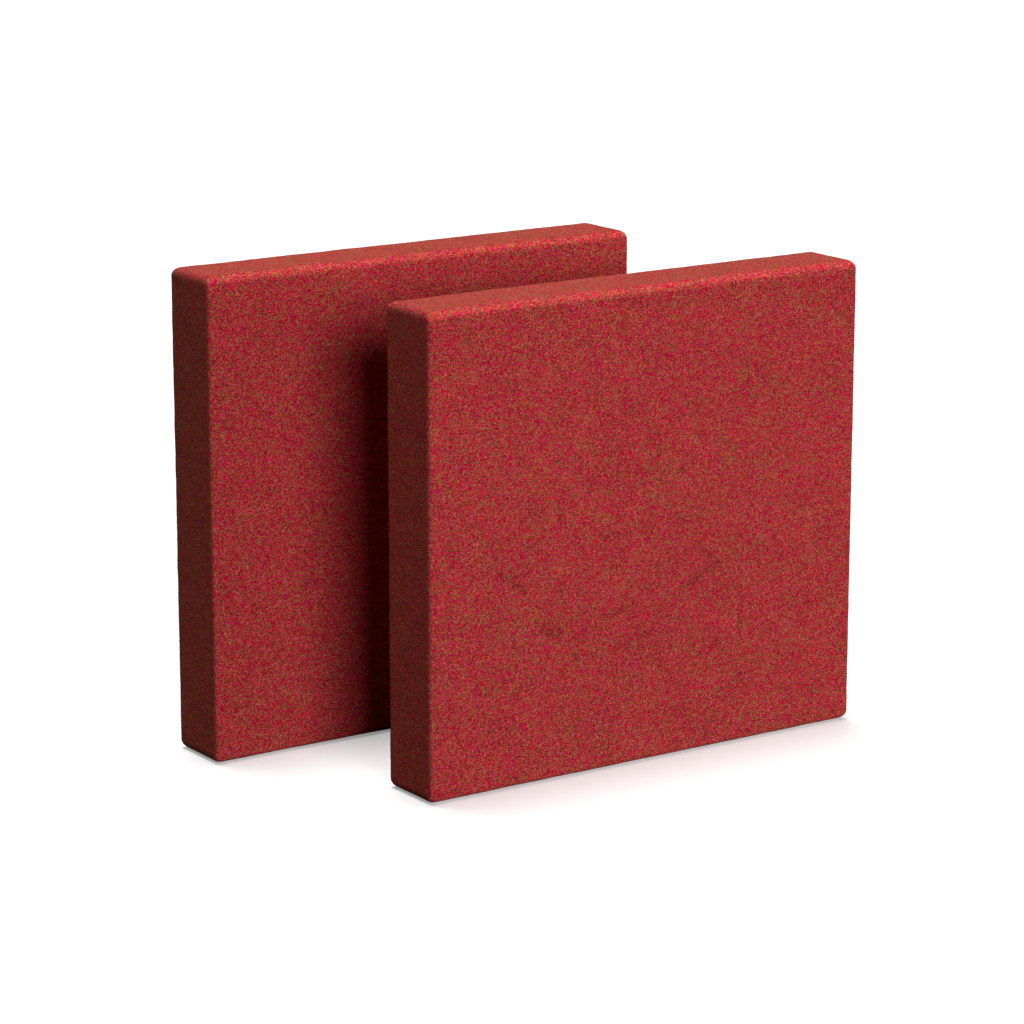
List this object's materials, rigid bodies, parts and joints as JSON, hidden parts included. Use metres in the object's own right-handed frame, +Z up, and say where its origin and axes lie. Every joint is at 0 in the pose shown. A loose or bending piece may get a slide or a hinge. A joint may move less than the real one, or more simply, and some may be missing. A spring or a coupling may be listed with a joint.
{
  "type": "clay bar",
  "caption": "Square slabs of soft red detailing clay with rounded edges, standing on edge, for rubbing bonded dirt off car paint.",
  "frame": {"origin": "on the resting surface, under the middle of the outline of the standing bars", "axes": "+Z up, -Y the way the front bar's broad face looks, +X to the right of someone facing that face"},
  "size_m": [0.09, 0.0444, 0.0715],
  "materials": {
    "detailing_clay": "matt red kneading clay with a fine dense grain"
  },
  "bodies": {
    "front_bar": {"front_bar": "detailing_clay"},
    "rear_bar": {"rear_bar": "detailing_clay"}
  },
  "joints": [
    {"name": "rear_bar_lift", "type": "slide", "parent": "front_bar", "child": "rear_bar", "axis": [0, 0, 1], "range_m": [0, 0.08]}
  ]
}
